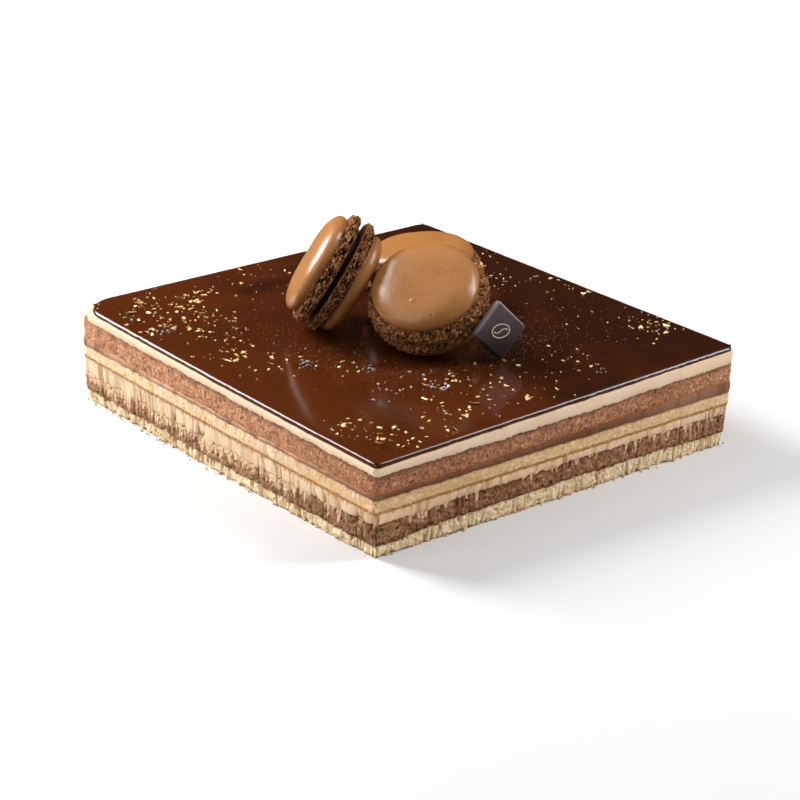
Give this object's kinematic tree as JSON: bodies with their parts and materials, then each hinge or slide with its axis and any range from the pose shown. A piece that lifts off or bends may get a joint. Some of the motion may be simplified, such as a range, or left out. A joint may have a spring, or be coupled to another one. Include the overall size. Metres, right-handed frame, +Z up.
{
  "type": "opera cake",
  "caption": "Oblong layered coffee and chocolate cake under a dark glaze, with coffee macarons and a small chocolate square on top, trimmed to show its layers.",
  "frame": {"origin": "under the middle of the block, on the surface that it stands on", "axes": "+Z up; the block's longer sides run along Y and its shorter sides along X; the front corner, where the top is lowest, is at -X -Y, and the macarons stand across the middle"},
  "size_m": [0.18, 0.186, 0.084],
  "materials": {
    "plain_sponge": "matt, open-crumbed pale sponge",
    "cocoa_sponge": "matt, open-crumbed cocoa sponge",
    "coffee_cream": "smooth pale coffee buttercream, faintly dragged by the knife",
    "ganache": "smooth dull chocolate ganache",
    "glaze": "glossy dark chocolate glaze",
    "macaron_shell": "satin coffee-brown cap with an open, ruffled foot",
    "macaron_filling": "dark chocolate filling",
    "chocolate": "satin moulded dark chocolate"
  },
  "bodies": {
    "root": {"base_sponge": "plain_sponge", "cocoa_sponge_lower": "cocoa_sponge", "coffee_cream_lower": "coffee_cream", "almond_sponge": "plain_sponge", "ganache": "ganache", "cocoa_sponge_upper": "cocoa_sponge", "coffee_cream_upper": "coffee_cream", "glaze": "glaze", "front_macaron_top": "macaron_shell", "front_macaron_bottom": "macaron_shell", "front_macaron_filling": "macaron_filling", "left_macaron_top": "macaron_shell", "left_macaron_bottom": "macaron_shell", "left_macaron_filling": "macaron_filling", "back_macaron_top": "macaron_shell", "back_macaron_bottom": "macaron_shell", "back_macaron_filling": "macaron_filling", "chocolate_square": "chocolate"}
  },
  "joints": []
}
